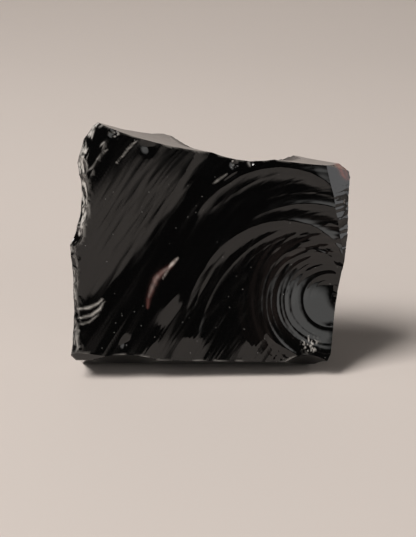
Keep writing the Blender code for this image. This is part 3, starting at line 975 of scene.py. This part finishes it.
def add_node(tree, kind, settings=None, links=None):
    """Adds a node; settings go to its properties or sockets, links maps a socket to the output it takes."""
    node = tree.nodes.new("ShaderNode" + kind)
    for name, value in (settings or {}).items():
        if isinstance(name, str) and hasattr(node, name):
            setattr(node, name, value)
        else:
            node.inputs[name].default_value = value
    for name, source in (links or {}).items():
        tree.links.new(source, node.inputs[name])
    return node


def new_material(name):
    """An empty material and its node tree."""
    material = bpy.data.materials.new(name)
    material.use_nodes = True
    material.node_tree.nodes.clear()
    return material, material.node_tree


print("mid grey is linear", round(linear("#808080")[0], 3))

# %% [markdown]
# ## Volcanic glass, broken
# A fresh break in obsidian is as smooth as window glass. Thin splinters let light
# through, but a chunk is black right up to its edges, so a plain dark base colour does, with no
# transmission. Crushed glass is pale grey and matt. Dust lies on it in specks of a quarter of a millimetre.
# The same pale grey also paints highlights where the face catches the light, and a brown tint paints the
# floor's reflection round the hollow. Each tint is a layer over the one before, and shows where its mask is
# strong.

# %% Dust
# the brown tint is a painted reflection of the floor round the hollow
GLASS, REFLECTION_BROWN, DUST = "#050505", "#2a2422", "#6e6e6c"
# the pale grey is crushing and wear, and also painted highlights
RED, PALE, RUSTY, CRUSHED_AND_GLINTS = "#5a3b38", "#d8cfc8", "#8c4433", "#b9b6b1"
OBSIDIAN_IOR = 1.54
FRESH, STREAKY, ROUGH = 0.05, 0.22, 0.4  # roughness of a fresh, a streaky and a crushed break
DUST_CELLS = 520.0  # cells to the metre, so one is 1.9 mm wide
DUST_SIZE, DUST_SHARE = 0.07, 0.55  # radius of a speck in cells; cells above this have one

glass, tree = new_material("volcanic_glass_broken")
where = add_node(tree, "TexCoord")
dots = add_node(tree, "TexVoronoi", {"Scale": DUST_CELLS}, {"Vector": where.outputs["Object"]})
small = add_node(tree, "Math", {"operation": "LESS_THAN", 1: DUST_SIZE},
                 {0: dots.outputs["Distance"]})
chance = add_node(tree, "SeparateColor", links={"Color": dots.outputs["Color"]})
chosen = add_node(tree, "Math", {"operation": "GREATER_THAN", 1: DUST_SHARE},
                  {0: chance.outputs[0]})
speck = add_node(tree, "Math", {"operation": "MULTIPLY"},
                 {0: small.outputs[0], 1: chosen.outputs[0]})
print("dust cells are wide in mm:", round(1 / DUST_CELLS / MM, 2))

# %% Layers of colour and the gloss
mask = {name: add_node(tree, "Attribute", {"attribute_name": name}).outputs["Fac"]
        for name in masks}
# the last, pale layer is crushing and wear, and also the painted highlights
layers = ((speck.outputs[0], DUST), (mask["mahogany"], RED), (mask["pale"], PALE),
          (mask["rust"], RUSTY), (mask["crushed"], CRUSHED_AND_GLINTS))
# the first layer is the painted reflection tint over the black glass
colour = add_node(tree, "Mix", {"data_type": "RGBA", 6: linear(GLASS), 7: linear(REFLECTION_BROWN)},
                  {0: mask["reflection_tint"]})
for strength, tint in layers:
    colour = add_node(tree, "Mix", {"data_type": "RGBA", 7: linear(tint)},
                      {0: strength, 6: colour.outputs[2]})
smooth = add_node(tree, "MapRange", {"To Min": FRESH, "To Max": STREAKY}, {"Value": mask["matt"]})
rough = add_node(tree, "MapRange", {"To Max": ROUGH},
                 {"Value": mask["crushed"], "To Min": smooth.outputs[0]})
shader = add_node(tree, "BsdfPrincipled", {"IOR": OBSIDIAN_IOR},
                  {"Base Color": colour.outputs[2], "Roughness": rough.outputs[0]})
add_node(tree, "OutputMaterial", links={"Surface": shader.outputs["BSDF"]})
chunk.data.materials.append(glass)
print("layers of colour:", len(layers) + 1)

# %% [markdown]
# ## The floor
# The chunk stands on a pale matt sheet that turns up behind it, so there is no line where the floor ends.
# The glass mirrors this sheet, so it reaches far forward too. A profile is carried along X: a long flat run,
# a quarter of a circle and a short upright end. Sizes from here on are in metres.

# %% Floor
FLOOR_HALF, BEND_AT, BEND, WALL_TOP = 3.0, 1.3, 0.5, 1.6
COLUMNS, FLAT_ROWS, BEND_ROWS, BEND_STARTS = 25, 30, 12, 0.1
flat = np.linspace(-FLOOR_HALF, BEND_AT, FLAT_ROWS)
quarter = np.linspace(BEND_STARTS, np.pi / 2, BEND_ROWS)
run = np.concatenate([flat, BEND_AT + BEND * np.sin(quarter), [BEND_AT + BEND]])
lift = np.concatenate([np.zeros(FLAT_ROWS), BEND - BEND * np.cos(quarter), [WALL_TOP]])
grid_x, grid_y = np.meshgrid(np.linspace(-FLOOR_HALF, FLOOR_HALF, COLUMNS), run)
sheet_points = np.stack([grid_x, grid_y, np.broadcast_to(lift[:, None], grid_x.shape)], -1)

sheet = bpy.data.meshes.new("floor")
sheet.from_pydata(sheet_points.reshape(-1, 3).tolist(), [], quads(numbered(sheet_points, 0)).tolist())
sheet.shade_smooth()
floor = bpy.data.objects.new("floor", sheet)
scene.collection.objects.link(floor)
plaster, tree = new_material("plaster_floor")
shader = add_node(tree, "BsdfPrincipled", {"Base Color": linear("#d2cac4"), "Roughness": 0.8})
add_node(tree, "OutputMaterial", links={"Surface": shader.outputs["BSDF"]})
floor.data.materials.append(plaster)
print("floor points:", grid_x.size)

# %% [markdown]
# ## The camera
# It looks down by sixteen degrees from less than half a metre away, as a person looks at such a specimen.
# A long lens keeps the outline true.

# %% Camera
AIM, CAMERA_RISE, CAMERA_AWAY = Vector((-0.0008, 0.0, 0.0267)), np.radians(16.0), 0.440
camera = bpy.data.objects.new("camera", bpy.data.cameras.new("camera"))
camera.data.lens, camera.data.sensor_width = 100.0, 36.0
camera.data.sensor_fit = "AUTO"
camera.data.clip_start = 0.01
camera.location = AIM + Vector((0, -np.cos(CAMERA_RISE), np.sin(CAMERA_RISE))) * CAMERA_AWAY
camera.rotation_euler = (np.pi / 2 - CAMERA_RISE, 0, 0)
scene.collection.objects.link(camera)
scene.camera = camera
scene.view_settings.view_transform = "Standard"
print("camera at", [round(v, 3) for v in camera.location])

# %% [markdown]
# ## Soft studio light
# One large light stands high on the left and in front, and gives the soft shadow on the right. Two weak ones
# wash the floor in front and the wall behind, because the glass mirrors them. Black glass shows its shape
# only by what it mirrors, so the dim room also has a few soft pale patches.

# %% Lights
# name, place, target, size, watts, spread in degrees
LAMPS = (
    ("key", (-1.11, -0.72, 1.76), (0.05, 0.40, 0), (1.05, 1.05), 18.5, 100),
    ("front_wash", (0.15, -1.25, 1.1), (0.15, -0.9, 0), (1.2, 0.6), 1.7, 58),
    ("wall_wash", (0.0, 0.95, 1.0), (0, 2.2, 0.6), (1.6, 0.5), 2.2, 180),
)
WARM_WHITE = "#fffaf6"


def soft_light(name, place, target, size, power, spread):
    """A rectangle of light that faces its target and isn't seen itself."""
    lamp = bpy.data.lights.new(name, "AREA")
    lamp.shape, lamp.size, lamp.size_y = "RECTANGLE", size[0], size[1]
    lamp.energy, lamp.spread = power, np.radians(spread)
    lamp.color = linear(WARM_WHITE)[:3]
    light = bpy.data.objects.new(name, lamp)
    light.location = place
    light.rotation_euler = (Vector(target) - Vector(place)).to_track_quat("-Z", "Y").to_euler()
    light.visible_camera = False
    scene.collection.objects.link(light)


for row in LAMPS:
    soft_light(*row)
print("lights:", [row[0] for row in LAMPS])

# %% Dim room with pale patches
ROOM_DARK = linear("#1b1a1a")
# azimuth, elevation, cosine where the patch starts and where it is full, strength, colour
ROOM_PATCHES = (
    (36, 13, 0.94, 0.992, 1.9, "#e4e3e0"),
    (102, 5, 0.95, 0.985, 1.4, "#e2e1e2"),
    (27, 22, 0.965, 0.99, 1.7, "#e4e3e0"),
    (-34, 30, 0.975, 0.988, 2.0, WARM_WHITE),
)


def room(name):
    """A dark colour with pale patches: each fades by the cosine of the angle from its own middle."""
    world = bpy.data.worlds.new(name)
    world.use_nodes = True
    tree = world.node_tree
    tree.nodes.clear()
    where = add_node(tree, "TexCoord")
    under, settings = {}, {"data_type": "RGBA", 6: ROOM_DARK}
    for azimuth, elevation, start, full, strength, shade in ROOM_PATCHES:
        middle = outward(azimuth, elevation)
        facing = add_node(tree, "VectorMath", {"operation": "DOT_PRODUCT", 1: middle},
                          {0: where.outputs["Generated"]})
        soft = add_node(tree, "MapRange",
                        {"From Min": start, "From Max": full, "interpolation_type": "SMOOTHSTEP"},
                        {"Value": facing.outputs["Value"]})
        pale_patch = [c * strength for c in linear(shade)]
        mix = add_node(tree, "Mix", {**settings, 7: pale_patch}, {0: soft.outputs[0], **under})
        under = {6: mix.outputs[2]}
    light = add_node(tree, "Background", links={"Color": mix.outputs[2]})
    add_node(tree, "OutputWorld", links={"Surface": light.outputs[0]})
    return world


scene.world = room("dim_room")
print("pale patches:", len(ROOM_PATCHES))
